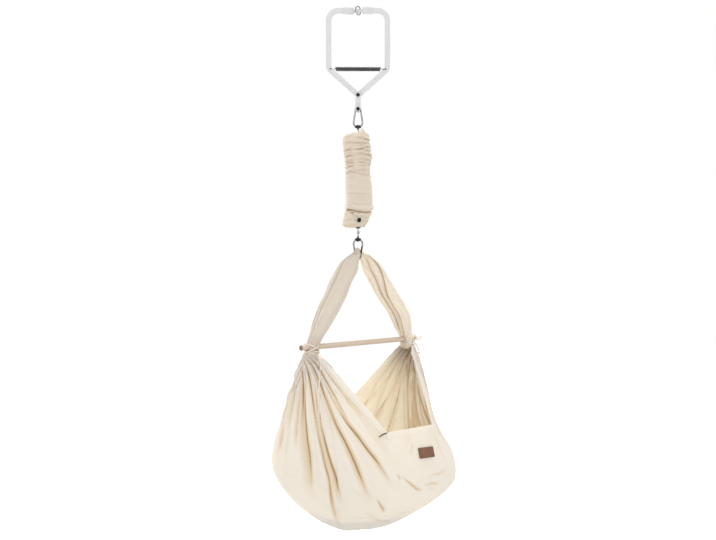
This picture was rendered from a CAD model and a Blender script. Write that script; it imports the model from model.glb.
import math

import bpy
import numpy as np
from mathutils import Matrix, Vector


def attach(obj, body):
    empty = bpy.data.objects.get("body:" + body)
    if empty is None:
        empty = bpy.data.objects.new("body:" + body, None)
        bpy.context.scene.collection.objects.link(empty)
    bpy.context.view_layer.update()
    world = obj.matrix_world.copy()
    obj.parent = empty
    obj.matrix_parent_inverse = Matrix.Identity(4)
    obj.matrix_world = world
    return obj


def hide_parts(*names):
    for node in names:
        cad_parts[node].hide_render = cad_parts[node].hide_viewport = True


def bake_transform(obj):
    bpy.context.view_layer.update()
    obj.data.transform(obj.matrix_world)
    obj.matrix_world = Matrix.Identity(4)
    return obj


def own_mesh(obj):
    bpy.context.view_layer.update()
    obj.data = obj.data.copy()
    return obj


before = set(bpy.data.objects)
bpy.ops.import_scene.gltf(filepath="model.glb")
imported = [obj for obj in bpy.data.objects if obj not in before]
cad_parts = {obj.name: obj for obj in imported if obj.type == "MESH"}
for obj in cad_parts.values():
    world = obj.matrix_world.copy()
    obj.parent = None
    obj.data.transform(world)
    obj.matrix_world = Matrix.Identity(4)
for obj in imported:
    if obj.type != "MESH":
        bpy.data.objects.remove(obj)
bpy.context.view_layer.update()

# A spring cradle that hangs from a door frame. All sizes here are in millimetres, in the frame's own axes,
# and are turned to metres where a mesh is made.
MM = 0.001

# Studio. A camera level with the sleeve looks along +Y, in front of white walls and a pale floor. Five soft
# lamps light the cradle, one of them from behind, through the cloth. The lens is for a frame of 716 by 540.
CAMERA_DISTANCE = 3000
CAMERA_DROP = 960
FLOOR_DROP = 2150
FLOOR_HALF_WIDTH = 9000
BODY_MIDDLE = (0, 0, -1.3)

camera = bpy.data.objects.new("studio_camera", bpy.data.cameras.new("studio_camera"))
camera.location = (0, -CAMERA_DISTANCE * MM, -CAMERA_DROP * MM)
camera.rotation_euler = (math.radians(90), 0, 0)
camera.data.lens = 40.78
camera.data.sensor_width = 36
bpy.context.collection.objects.link(camera)
bpy.context.scene.camera = camera
bpy.context.scene.view_settings.view_transform = "Standard"


def linear(hex_colour):
    """An sRGB hex colour as the linear colour that a node takes."""
    parts = [int(hex_colour[i:i + 2], 16) / 255 for i in (1, 3, 5)]
    return [c / 12.92 if c <= 0.04045 else ((c + 0.055) / 1.055) ** 2.4 for c in parts] + [1]


def fill_inputs(tree, made, inputs):
    """Sets or links each named or numbered input of a node."""
    for place, value in inputs.items():
        if isinstance(value, bpy.types.NodeSocket):
            tree.links.new(value, made.inputs[place])
        else:
            made.inputs[place].default_value = value


def node(tree, kind, inputs=None, **settings):
    """Adds a node with its settings, and sets or links its inputs."""
    made = tree.nodes.new(kind)
    for setting, value in settings.items():
        setattr(made, setting, value)
    fill_inputs(tree, made, inputs or {})
    return made


# A colour Mix node takes its two colours at these inputs and gives its colour at this output.
MIX_A, MIX_B, MIXED = 6, 7, 2


def start_material(name):
    """A material with its node tree and its Principled shader."""
    made = bpy.data.materials.new(name)
    made.use_nodes = True
    tree = made.node_tree
    tree.nodes.clear()
    shader = node(tree, "ShaderNodeBsdfPrincipled")
    node(tree, "ShaderNodeOutputMaterial", {"Surface": shader.outputs[0]})
    return made, tree, shader


def mesh_object(name, points, faces, material, attributes=None):
    """A smooth-shaded mesh from places in millimetres. An attribute has one number or arrow a vertex."""
    mesh = bpy.data.meshes.new(name)
    mesh.from_pydata((np.asarray(points, float) * MM).tolist(), [], [tuple(f) for f in faces])
    mesh.polygons.foreach_set("use_smooth", [True] * len(mesh.polygons))
    for label, values in (attributes or {}).items():
        values = np.asarray(values, float)
        if values.ndim == 1:
            mesh.attributes.new(label, "FLOAT", "POINT").data.foreach_set("value", values)
        else:
            mesh.attributes.new(label, "FLOAT_VECTOR", "POINT").data.foreach_set("vector", values.ravel())
    mesh.update()
    made = bpy.data.objects.new(name, mesh)
    made.data.materials.append(material)
    bpy.context.collection.objects.link(made)
    return made


def lamp(name, place, width, height, watts, hex_colour):
    data = bpy.data.lights.new(name, "AREA")
    data.shape = "RECTANGLE"
    data.size = width
    data.size_y = height
    data.energy = watts
    data.color = linear(hex_colour)[:3]
    made = bpy.data.objects.new(name, data)
    made.location = place
    made.rotation_euler = (Vector(BODY_MIDDLE) - Vector(place)).to_track_quat("-Z", "Y").to_euler()
    bpy.context.collection.objects.link(made)


lamp("left_softbox", (-2.6, -2.2, 0.4), 1.8, 2.4, 30, "#fffdfa")
lamp("right_softbox", (2.9, -1.2, -0.4), 1.6, 2.4, 22, "#fbfbff")
lamp("top_softbox", (0.3, 0.5, 1.6), 2.2, 2.2, 34, "#ffffff")
lamp("front_softbox", (-0.4, -3.3, 1.0), 1.6, 1.6, 11, "#fffefc")
lamp("back_softbox", (-2.2, 2.4, -0.5), 2.0, 2.0, 60, "#fffefa")

world = bpy.data.worlds.new("white_studio")
bpy.context.scene.world = world
world.use_nodes = True
tree = world.node_tree
tree.nodes.clear()
ray = node(tree, "ShaderNodeLightPath").outputs
seen = node(tree, "ShaderNodeMath", {0: ray["Is Camera Ray"], 1: ray["Is Glossy Ray"]},
            operation="MAXIMUM").outputs[0]
seen = node(tree, "ShaderNodeMath", {0: seen, 1: ray["Is Transmission Ray"]},
            operation="MAXIMUM").outputs[0]
sky_place = node(tree, "ShaderNodeTexCoord").outputs["Generated"]
way_up = node(tree, "ShaderNodeSeparateXYZ", {0: sky_place}).outputs["Z"]
sky_strength = node(tree, "ShaderNodeMapRange", {"Value": way_up, "From Min": -0.2, "From Max": 1.0,
                    "To Min": 0.44, "To Max": 1.16}).outputs[0]
ambient = node(tree, "ShaderNodeBackground", {"Color": linear("#f7f7f8"), "Strength": sky_strength})
white_wall = node(tree, "ShaderNodeBackground", {"Color": linear("#ffffff"), "Strength": 1.0})
walls = node(tree, "ShaderNodeMixShader", {0: seen, 1: ambient.outputs[0], 2: white_wall.outputs[0]})
node(tree, "ShaderNodeOutputWorld", {"Surface": walls.outputs[0]})

# Painted studio floor: matt, and lifted to white for the camera only, so that it keeps the shadow.
floor_paint, tree, shader = start_material("studio_floor_paint")
ray = node(tree, "ShaderNodeLightPath").outputs
lift = node(tree, "ShaderNodeMath", {0: ray["Is Camera Ray"], 1: 0.6}, operation="MULTIPLY").outputs[0]
grit = node(tree, "ShaderNodeTexNoise", {"Scale": 6.0, "Detail": 4.0}).outputs[0]
tint = node(tree, "ShaderNodeMix", {0: grit, MIX_A: linear("#f2f1ef"), MIX_B: linear("#f8f7f5")},
            data_type="RGBA").outputs[MIXED]
fill_inputs(tree, shader, {"Base Color": tint, "Roughness": 0.9,
            "Emission Color": linear("#ffffff"), "Emission Strength": lift})
corners = [(-1, -1), (1, -1), (1, 1), (-1, 1)]
floor = mesh_object("studio_floor", [(x * FLOOR_HALF_WIDTH, y * FLOOR_HALF_WIDTH, -FLOOR_DROP)
                    for x, y in corners], [(0, 1, 2, 3)], floor_paint)

# Clamp: two flat steel bars that cross at a bolt, bent into a frame whose tips grip the door frame's top.
# Cut from 5 mm strip, bent, and powder coated white: a soft satin skin with a faint orange peel.
# The peel is 2 mm across.
def clouded(name, cloud, tones, gloss, relief=None, cut=False, shine=None):
    """A material of two close tones that cloud over each other, cloud being a noise's scale and detail.

    gloss is one roughness, or the two that the cloud runs between. relief is a kind, scale, strength and
    distance, where a number for the kind is a noise's detail and a word is a feature of cells. With cut the
    textures lie along the piece, and shine holds the shader's other inputs."""
    made, tree, shader = start_material(name)
    if cut:
        place = node(tree, "ShaderNodeAttribute", attribute_name="cut_m").outputs["Vector"]
    else:
        place = node(tree, "ShaderNodeTexCoord").outputs["Object"]
    scale, detail = cloud
    mottle = node(tree, "ShaderNodeTexNoise", {"Vector": place, "Scale": scale, "Detail": detail}).outputs[0]
    pale, deep = [linear(tone) for tone in tones]
    tint = node(tree, "ShaderNodeMix", {0: mottle, MIX_A: pale, MIX_B: deep}, data_type="RGBA").outputs[MIXED]
    rough = gloss
    if isinstance(gloss, tuple):
        rough = node(tree, "ShaderNodeMapRange", {"Value": mottle, "To Min": gloss[0],
                     "To Max": gloss[1]}).outputs[0]
    fill_inputs(tree, shader, {"Base Color": tint, "Roughness": rough})
    fill_inputs(tree, shader, shine or {})
    if relief:
        kind, scale, strength, distance = relief
        if isinstance(kind, str):
            lumps = node(tree, "ShaderNodeTexVoronoi", {"Vector": place, "Scale": scale}, feature=kind)
        else:
            lumps = node(tree, "ShaderNodeTexNoise", {"Vector": place, "Scale": scale, "Detail": kind})
        raised = node(tree, "ShaderNodeBump", {"Height": lumps.outputs[0], "Strength": strength,
                      "Distance": distance})
        fill_inputs(tree, shader, {"Normal": raised.outputs[0]})
    return made


powder_coat = clouded("white_powder_coated_steel", (18.0, 3.0), ("#cbcbcb", "#d3d3d3"), (0.3, 0.46),
                      relief=(2.0, 500.0, 0.12, 0.0002), shine={"Coat Weight": 0.15})

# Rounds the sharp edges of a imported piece: joins its split corners, then shades it smooth up to an angle.
SMOOTH_UP_TO = math.radians(32)
soft_edges = bpy.data.node_groups.new("soft_edges", "GeometryNodeTree")
soft_edges.interface.new_socket("Geometry", in_out="INPUT", socket_type="NodeSocketGeometry")
soft_edges.interface.new_socket("Geometry", in_out="OUTPUT", socket_type="NodeSocketGeometry")
given = node(soft_edges, "NodeGroupInput")
plain = node(soft_edges, "GeometryNodeRemoveAttribute", {"Geometry": given.outputs[0],
             "Name": "custom_normal"})
round_all = node(soft_edges, "GeometryNodeSetShadeSmooth", {"Geometry": plain.outputs[0],
                 "Shade Smooth": True}, domain="FACE")
bend = node(soft_edges, "GeometryNodeInputMeshEdgeAngle")
steep = node(soft_edges, "FunctionNodeCompare", {0: bend.outputs[0], 1: SMOOTH_UP_TO},
             operation="GREATER_THAN", data_type="FLOAT")
crisp = node(soft_edges, "GeometryNodeSetShadeSmooth", {"Geometry": round_all.outputs[0],
             "Selection": steep.outputs[0], "Shade Smooth": False}, domain="EDGE")
node(soft_edges, "NodeGroupOutput", {"Geometry": crisp.outputs[0]})


def dress(name, material, edge=0.5):
    """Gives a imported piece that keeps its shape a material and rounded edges, edge millimetres wide."""
    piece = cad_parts[name]
    piece.data.materials.clear()
    piece.data.materials.append(material)
    weld = piece.modifiers.new("weld", "WELD")
    weld.merge_threshold = 0.01 * MM
    if edge:
        bevel = piece.modifiers.new("edges", "BEVEL")
        bevel.width = edge * MM
        bevel.segments = 2
        bevel.limit_method = "ANGLE"
        bevel.angle_limit = math.radians(40)
    shading = piece.modifiers.new("shading", "NODES")
    shading.node_group = soft_edges
    return piece


for name in ["clamp_arm_left", "clamp_arm_right"]:
    dress(name, powder_coat, edge=0.8)

# Grip sleeves: two grey vinyl tubes dipped over the tips, so that they don't mark the door frame.
# Its pebbled skin is 1.5 mm across.
vinyl = clouded("grey_soft_vinyl", (60.0, 3.0), ("#c6c6c6", "#d6d6d6"), 0.55,
                relief=("F1", 650.0, 0.2, 0.0003))
for name in ["grip_sleeve_left", "grip_sleeve_right"]:
    dress(name, vinyl, edge=0.8)

# Tip keeper, snap hooks and swivel: round steel wire, bent, welded and bright zinc plated, which gives a
# cool mirror that is slightly clouded, with the fine lines of the drawn wire.
# Draw lines are 0.8 mm apart.
zinc = clouded("bright_zinc_plated_steel", (90.0, 4.0), ("#7c7f82", "#a3a6a8"), (0.16, 0.36),
               relief=(1.0, 1200.0, 0.08, 0.0001), shine={"Metallic": 1.0})
keeper = dress("tip_keeper", zinc, edge=0)
fuller = keeper.modifiers.new("plating", "DISPLACE")
fuller.strength = 0.5 * MM
fuller.mid_level = 0

# Pivot bolt and nut: black oxide steel, turned and dipped, a dark satin with a worn grey bloom.
black_oxide = clouded("black_oxide_steel", (160.0, 4.0), ("#17171a", "#34343a"), 0.42,
                      relief=(4.0, 160.0, 0.1, 0.0002), shine={"Metallic": 0.85})
for name in ["pivot_bolt", "pivot_nut", "link_bolt", "link_nut"]:
    dress(name, black_oxide, edge=0.5)

# Clamp spring: an extension spring of dark wire between the elbows, which pulls the tips together. Its two
# hooks go through holes in the arms.
ELBOW_DROP = 217
CLAMP_COIL_HALF = 82
CLAMP_COIL_RADIUS = 7
CLAMP_WIRE = 1.25
CLAMP_CURLS = 50
HOOK_HOLE_X = 104


def unit(arrows):
    return arrows / np.maximum(np.linalg.norm(arrows, axis=-1, keepdims=True), 1e-9)


def full_turn(steps):
    return np.linspace(0, 2 * math.pi, steps, endpoint=False)


def xyz(x, y, z):
    """Places from three coordinates, each one number or many."""
    return np.stack(np.broadcast_arrays(x, y, z), -1)


def travelled(route):
    """How far along the route each of its points lies."""
    return np.concatenate([[0], np.cumsum(np.linalg.norm(np.diff(route, axis=0), axis=1))])


def smooth_route(points, per_span):
    """A centripetal curve through the points, with per_span steps between two of them."""
    points = np.asarray(points, float)
    ends = [2 * points[0] - points[1], *points, 2 * points[-1] - points[-2]]
    route = []
    for p0, p1, p2, p3 in zip(ends, ends[1:], ends[2:], ends[3:]):
        t1 = np.linalg.norm(p1 - p0) ** 0.5
        t2 = t1 + max(np.linalg.norm(p2 - p1) ** 0.5, 1e-6)
        t3 = t2 + np.linalg.norm(p3 - p2) ** 0.5
        for t in np.linspace(t1, t2, per_span, endpoint=False):
            a1 = p0 * (t1 - t) / t1 + p1 * t / t1
            a2 = p1 * (t2 - t) / (t2 - t1) + p2 * (t - t1) / (t2 - t1)
            a3 = p2 * (t3 - t) / (t3 - t2) + p3 * (t - t2) / (t3 - t2)
            b1 = a1 * (t2 - t) / t2 + a2 * t / t2
            b2 = a2 * (t3 - t) / (t3 - t1) + a3 * (t - t1) / (t3 - t1)
            route.append(b1 * (t2 - t) / (t2 - t1) + b2 * (t - t1) / (t2 - t1))
    return np.array([*route, points[-1]])


def grid_faces(rows, columns, wrap, start=0, flip=False):
    """The quads between rows of vertices; wrap joins each row's last vertex to its first."""
    faces = []
    for row in range(rows - 1):
        for column in range(columns if wrap else columns - 1):
            beside = (column + 1) % columns
            a, b = start + row * columns + column, start + row * columns + beside
            quad = (a, b, b + columns, a + columns)
            faces.append(quad[::-1] if flip else quad)
    return faces


def closed_faces(rows, columns, flip=False):
    """The faces of rings of vertices, closed at both ends by the two vertices that follow the rings."""
    faces = grid_faces(rows, columns, True, flip=flip)
    last, way = (rows - 1) * columns, -1 if flip else 1
    for k in range(columns):
        beside = (k + 1) % columns
        faces.append((rows * columns, beside, k)[::way])
        faces.append((rows * columns + 1, last + k, last + beside)[::way])
    return faces


def settle(piece, body=None, replaced=None):
    """Names the piece's slot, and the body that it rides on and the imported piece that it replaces, if any."""
    if body:
        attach(piece, body)
    if replaced:
        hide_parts(replaced)


def tube(name, route, radius, sides, material, lobes=0, lobe_share=0.0, twist=0.0):
    """A round tube along a route, closed at both ends. Lobes that turn by twist a millimetre make a cord."""
    route = np.asarray(route, float)
    along = unit(np.gradient(route, axis=0))
    radius = np.broadcast_to(radius, len(route))
    travel = travelled(route)
    across = np.cross(along[0], (0.3, 0.5, 0.8))
    angles = full_turn(sides)
    points = []
    for place, ahead, size, done in zip(route, along, radius, travel):
        across = unit(across - ahead * np.dot(across, ahead))
        beside = np.cross(ahead, across)
        reach = size * (1 + lobe_share * np.cos(lobes * (angles - twist * done)))
        points.append(place + reach[:, None] * (np.cos(angles)[:, None] * across
                                                + np.sin(angles)[:, None] * beside))
    count = len(route)
    points = np.concatenate([np.concatenate(points), [route[0], route[-1]]])
    place_along = np.concatenate([np.repeat(travel, sides), [0, travel[-1]]])
    place_round = np.concatenate([np.tile(angles * radius.mean(), count), [0, 0]])
    cut = xyz(place_round, place_along, 0) * MM
    return mesh_object(name, points, closed_faces(count, sides), material, {"cut_m": cut})


hook = smooth_route([(84.5, 0, 0), (96.8, -1.55, 0), (102.2, -2.45, 0), (HOOK_HOLE_X, -0.78, 0),
                     (HOOK_HOLE_X, 2.7, 0), (HOOK_HOLE_X, 6.95, 0), (102.2, 8.75, 0), (96.8, 8.75, 0)], 5)
turn = np.linspace(0, 2 * math.pi * CLAMP_CURLS, CLAMP_CURLS * 16 + 1)
coil = xyz(np.linspace(-CLAMP_COIL_HALF, CLAMP_COIL_HALF, len(turn)), CLAMP_COIL_RADIUS * np.sin(turn),
           CLAMP_COIL_RADIUS * np.cos(turn))
route = np.concatenate([(hook * (-1, -1, 1))[::-1], coil, hook]) - (0, 0, ELBOW_DROP)

# Spring wire: oil-tempered steel, nearly black, with a low sheen.
dark_wire = clouded("oil_tempered_spring_wire", (220.0, 3.0), ("#38393b", "#66686b"), 0.42,
                    shine={"Metallic": 0.7})
clamp_coil = tube("clamp_coil", route, CLAMP_WIRE, 8, dark_wire)
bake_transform(clamp_coil)
settle(clamp_coil, replaced="clamp_spring")

# Link: two short white plates on the pivot bolt, with the hook's bolt between their lower ends.
for name in ["link_plate_front", "link_plate_back"]:
    dress(name, powder_coat, edge=0.6)

# Snap hooks: a wire body with a sprung gate on a pin, one above the spring and one, turned over, below it.
# Each has two black rubber collars on its wide end, and a rubber sleeve on the eye between them, which keep
# the eye in the middle and quiet.
rubber = clouded("black_rubber", (220.0, 2.0), ("#121212", "#242323"), 0.7)
HOOK_WIDE_END = 16.5
COLLAR_RADIUS = 5.6
EYE_SLEEVE_WALL = 1.0
# By hook: the height of its wide arc's middle, the turn of the arc's end, and the height, radius, wire and
# body of the eye that it holds.
HOOK_ENDS = [("upper_hook", -414.7, 1.5 * math.pi, -434.65, 9.5, 2.25, "spring"),
             ("lower_hook", -863.3, 0.5 * math.pi, -844.3, 9, 3, "swivel_lower")]
for body_name, arc_middle, bottom, eye_middle, eye_reach, eye_wire, eye_body in HOOK_ENDS:
    turn = math.pi - math.copysign(1, bottom - math.pi) * np.linspace(-0.75, 1.0, 16)
    round_it = xyz(0, eye_reach * np.cos(turn), eye_middle + eye_reach * np.sin(turn))
    settle(tube(body_name + "_eye_sleeve", round_it, eye_wire + EYE_SLEEVE_WALL, 20, rubber),
           eye_body)
    for way, side_name in [(-1, "left"), (1, "right")]:
        turn = bottom + way * np.linspace(0.17, 0.6, 12)
        arc = xyz(HOOK_WIDE_END * np.cos(turn), 0, arc_middle + HOOK_WIDE_END * np.sin(turn))
        collar = tube(body_name + "_collar_" + side_name, arc, COLLAR_RADIUS, 24, rubber)
        settle(collar, body_name)
        if body_name == "lower_hook":
            # The eye squeezes the collars when the hook swings.
            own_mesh(collar)
for hook_name, gate_metal in [("upper_snap_hook", zinc), ("lower_snap_hook", black_oxide)]:
    dress(hook_name + "_body", zinc, edge=0.2)
    dress(hook_name + "_gate", gate_metal, edge=0.2)
    dress(hook_name + "_gate_pin", zinc, edge=0.1)

# Main spring: 12 turns of zinc-plated wire with a crossed eye at each end, hidden in the sleeve.
SPRING_RADIUS = 19
SPRING_WIRE = 2.25
SPRING_CURLS = 12.25
COIL_TOP = 465.65
COIL_LOW = 765.65
EYE_RADIUS = 9.5
EYE_RISE = 31

# The way in from the coil to the eye, in shares of the coil's radius and of the eye's rise.
inward = np.array([(0.45, -0.9, 0.1), (0.7, -0.45, 0.22), (0.5, 0.05, 0.36), (0.18, 0.36, 0.52)])
round_eye = np.radians(np.linspace(-20, 225, 10))
eye = xyz(0, EYE_RADIUS * np.cos(round_eye), EYE_RISE + EYE_RADIUS * np.sin(round_eye))
top_eye = smooth_route(np.concatenate([inward * (SPRING_RADIUS, SPRING_RADIUS, EYE_RISE), eye]), 4)
turn = -math.pi / 2 - np.linspace(2 * math.pi * SPRING_CURLS, 0, round(SPRING_CURLS * 24) + 1)
coil = xyz(SPRING_RADIUS * np.cos(turn), SPRING_RADIUS * np.sin(turn),
           np.linspace(-COIL_LOW, -COIL_TOP, len(turn)))
lean = math.atan2(coil[0][1], coil[0][0]) - math.pi / 2
flipped = top_eye * (1, -1, -1)
low_eye = xyz(flipped[:, 0] * math.cos(lean) - flipped[:, 1] * math.sin(lean),
              flipped[:, 0] * math.sin(lean) + flipped[:, 1] * math.cos(lean), flipped[:, 2])
route = np.concatenate([(low_eye - (0, 0, COIL_LOW))[::-1], coil, top_eye - (0, 0, COIL_TOP)])
main_coil = tube("main_coil", route, SPRING_WIRE, 10, zinc)
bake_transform(main_coil)
settle(main_coil, replaced="main_spring")

# Safety cord: a slack loop of braided cotton inside the coil, which it touches at each bend.
CORD_RADIUS = 4
# Yarns lie 0.7 mm apart, drawn 1 mm apart so that they show.
cotton_yarn = clouded("twisted_cotton_cord", (40.0, 2.0), ("#d8cbb6", "#efe7d9"), 0.92,
                      relief=(2.0, 1000.0, 0.5, 0.0003), cut=True, shine={"Sheen Weight": 0.2})
WAVES = 6
CORD_CLEARANCE = 0.6
wave = SPRING_RADIUS - SPRING_WIRE - CORD_RADIUS - CORD_CLEARANCE
bends = [(0 if k in (0, WAVES) else wave * (1 if k % 2 else -1), 0,
          -COIL_TOP + CORD_RADIUS - (COIL_LOW - COIL_TOP + 2 * CORD_RADIUS) * k / WAVES)
         for k in range(WAVES + 1)]
inner_cord = tube("inner_cord", smooth_route(bends, 24), CORD_RADIUS, 18, cotton_yarn, lobes=3,
                  lobe_share=0.1, twist=0.25)
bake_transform(inner_cord)
settle(inner_cord, replaced="safety_cord")

# Spring sleeve: a tube of crinkled cotton pushed up on the spring, so that its upper third lies in deep
# cross folds. It is drawn in at the top mouth, and hangs in a loose cuff at the bottom.
SLEEVE_TOP = 449
SLEEVE_LENGTH = 358
SLEEVE_MEAN_RADIUS = 50
SLEEVE_CLOTH = 1.4
SLEEVE_COLUMNS = 132
SLEEVE_ROWS = 230
# Down the sleeve, as shares of its length: half widths on the left and on the right.
SLEEVE_OUTLINE = [(0.0, 24, 24), (0.012, 31, 30), (0.04, 52, 42), (0.085, 60, 47), (0.2, 56, 50),
                  (0.25, 53, 56), (0.36, 49, 47), (0.5, 48, 50), (0.66, 46, 54), (0.75, 45, 54),
                  (0.83, 51, 53), (0.91, 57, 42), (0.96, 60, 33), (0.985, 46, 24), (1.0, 15, 14)]
FOLD_BANDS = 9
FOLD_PITCH = (11, 24)
FOLD_DEPTH = 4.2
DEEPEST_FOLD = 8
# The deep folds fade out between these shares of the length.
SCRUNCH_END = (0.38, 0.56)
MOUTH_PLEATS = 17
MOUTH_PLEAT_DEPTH = 2.2
CUFF_FOLD_DEPTH = 9
LIP_HEIGHT = 5
# The cuff's creases: how far down the deep line lies, and where the slanting one crosses it.
CUFF_LINE = 0.806
SLANT_ANGLE = 4.25
chance = np.random.default_rng(7)


def wander(angle, strength):
    """A smooth random line round a tube."""
    sway = sum(chance.normal() / k * np.cos(k * angle + chance.uniform(0, 6.3)) for k in (1, 2, 3, 4, 6))
    return strength * sway


def cloud_over(across, down, cells_across, cells_down, seed):
    """Smooth random numbers from -1 to 1 over a grid whose two coordinates run from 0 to 1."""
    lattice = np.random.default_rng(seed).uniform(-1, 1, (cells_down + 2, cells_across + 2))
    lattice[:, -2:] = lattice[:, :2]
    x, y = (across % 1) * cells_across, np.clip(down, 0, 0.9999) * cells_down
    column, row = x.astype(int), y.astype(int)
    fx, fy = x - column, y - row
    fx, fy = fx * fx * (3 - 2 * fx), fy * fy * (3 - 2 * fy)
    top = lattice[row, column] * (1 - fx) + lattice[row, column + 1] * fx
    low = lattice[row + 1, column] * (1 - fx) + lattice[row + 1, column + 1] * fx
    return top * (1 - fy) + low * fy


def ramp(value, low, high):
    """0 below low, 1 above high, and smooth between them."""
    share = np.clip((value - low) / (high - low), 0, 1)
    return share * share * (3 - 2 * share)


def bell(distance, width):
    """1 at no distance, and down to nothing past twice the width."""
    return np.exp(-((distance / width) ** 2))


def lined_cloth(name, outer, inner, wrap, material, cut, hollow, layered):
    """A cloth of two faces, given as grids of places, closed along its free edges.

    hollow is above 0 where the outer face is folded in, and below 0 where the inner face is. layered runs
    from 0 for one layer, which light shines through, to 1 for many."""
    rows, columns = outer.shape[:2]
    size = rows * columns
    faces = grid_faces(rows, columns, wrap) + grid_faces(rows, columns, wrap, size, flip=True)
    for column in range(columns if wrap else columns - 1):
        beside = (column + 1) % columns
        low, low_beside = (rows - 1) * columns + column, (rows - 1) * columns + beside
        faces.append((column, size + column, size + beside, beside))
        faces.append((low, low_beside, size + low_beside, size + low))
    if not wrap:
        for row in range(rows - 1):
            left, right = row * columns, row * columns + columns - 1
            faces.append((left, left + columns, size + left + columns, size + left))
            faces.append((right, size + right, size + right + columns, right + columns))
    points = np.concatenate([outer.reshape(-1, 3), inner.reshape(-1, 3)])
    flat = xyz(cut[..., 0], cut[..., 1], 0).reshape(-1, 3) * MM
    layered = np.broadcast_to(layered, hollow.shape).ravel()
    marks = {"cut_m": np.concatenate([flat, flat]), "layered": np.concatenate([layered, layered]),
             "hollow": np.concatenate([hollow.ravel(), -hollow.ravel()]).clip(0, 1)}
    return mesh_object(name, points, faces, material, marks)


def cotton(name, pale, deep, crinkle_mm, crinkle_strength, thick_tint=0.0):
    """A plain-woven unbleached cotton: matt, flecked with seed, deeper in its folds, warm where light shines
    through it."""
    made, tree, shader = start_material(name)
    cut = node(tree, "ShaderNodeAttribute", attribute_name="cut_m").outputs["Vector"]
    hollow, layered = [node(tree, "ShaderNodeAttribute", attribute_name=each).outputs["Fac"]
                       for each in ("hollow", "layered")]
    # Threads lie 0.5 mm apart, and are drawn 1.5 mm apart so that they show.
    thread_scale = 1 / (0.0015 * 6.283)
    threads = [node(tree, "ShaderNodeTexWave", {"Vector": cut, "Scale": thread_scale, "Distortion": 0.6,
               "Detail": 1.0}, bands_direction=way).outputs["Fac"] for way in ("X", "Y")]
    weave = node(tree, "ShaderNodeMath", dict(enumerate(threads)), operation="MULTIPLY").outputs[0]
    # Slubs are thick places in the yarn, 12 mm long and 1.5 mm wide.
    yarn = node(tree, "ShaderNodeMapping", {"Vector": cut, "Scale": (650.0, 80.0, 1.0)}).outputs[0]
    slub = node(tree, "ShaderNodeTexNoise", {"Vector": yarn, "Scale": 1.0, "Detail": 2.0}).outputs[0]
    dull = node(tree, "ShaderNodeTexNoise", {"Vector": cut, "Scale": 14.0, "Detail": 3.0}).outputs[0]
    soil = node(tree, "ShaderNodeMapRange", {"Value": dull, "To Min": 0.0, "To Max": 0.05}).outputs[0]
    specks = node(tree, "ShaderNodeTexNoise", {"Vector": cut, "Scale": 420.0, "Detail": 0.0}).outputs[0]
    seeds = node(tree, "ShaderNodeMapRange", {"Value": specks, "From Min": 0.72, "From Max": 0.78,
                 "To Min": 0.0, "To Max": 0.35}).outputs[0]
    slub_tone = node(tree, "ShaderNodeMath", {0: slub, 1: 0.06, 2: soil}, operation="MULTIPLY_ADD").outputs[0]
    fold_tone = node(tree, "ShaderNodeMath", {0: layered, 1: thick_tint, 2: hollow},
                     operation="MULTIPLY_ADD").outputs[0]
    depths = node(tree, "ShaderNodeMapRange", {"Value": hollow, "From Min": 0.66, "From Max": 1.0}).outputs[0]
    # Each tone lies over those before it: the yarn, its seeds, the folds and the depths of the folds.
    folded = linear(pale)
    for share_over, tone in [(slub_tone, deep), (seeds, "#b39a74"), (fold_tone, deep), (depths, "#6f4f30")]:
        folded = node(tree, "ShaderNodeMix", {0: share_over, MIX_A: folded, MIX_B: linear(tone)},
                      data_type="RGBA").outputs[MIXED]
    crinkle = node(tree, "ShaderNodeTexNoise", {"Vector": cut, "Scale": 1000 / crinkle_mm, "Detail": 3.0})
    crinkled = node(tree, "ShaderNodeBump", {"Height": crinkle.outputs[0], "Strength": crinkle_strength,
                    "Distance": 0.0015})
    relief = node(tree, "ShaderNodeBump", {"Height": weave, "Strength": 0.25, "Distance": 0.0003,
                  "Normal": crinkled.outputs[0]}).outputs[0]
    fill_inputs(tree, shader, {"Base Color": folded, "Roughness": 0.95, "Sheen Weight": 0.12,
                "Sheen Roughness": 0.5, "Specular IOR Level": 0.25, "Normal": relief})
    glow = node(tree, "ShaderNodeBsdfTranslucent", {"Color": linear("#f9f1e0"), "Normal": relief})
    shone_through = node(tree, "ShaderNodeMath", {0: layered, 1: -0.42, 2: 0.42},
                         operation="MULTIPLY_ADD").outputs[0]
    woven = node(tree, "ShaderNodeMixShader", {0: shone_through, 1: shader.outputs[0], 2: glow.outputs[0]})
    surface = next(each for each in tree.nodes if each.bl_idname == "ShaderNodeOutputMaterial")
    tree.links.new(woven.outputs[0], surface.inputs["Surface"])
    return made


sleeve_cotton = cotton("crinkled_sleeve_cotton", "#dacfbf", "#bc9a74", 9, 0.32)
share, angle = np.meshgrid(np.linspace(0, 1, SLEEVE_ROWS), full_turn(SLEEVE_COLUMNS), indexing="ij")
stops, left_half, right_half = np.array(SLEEVE_OUTLINE).T
left_reach, right_reach = np.interp(share, stops, left_half), np.interp(share, stops, right_half)
reach = left_reach + (right_reach - left_reach) * (0.5 + 0.5 * np.cos(angle))
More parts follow.
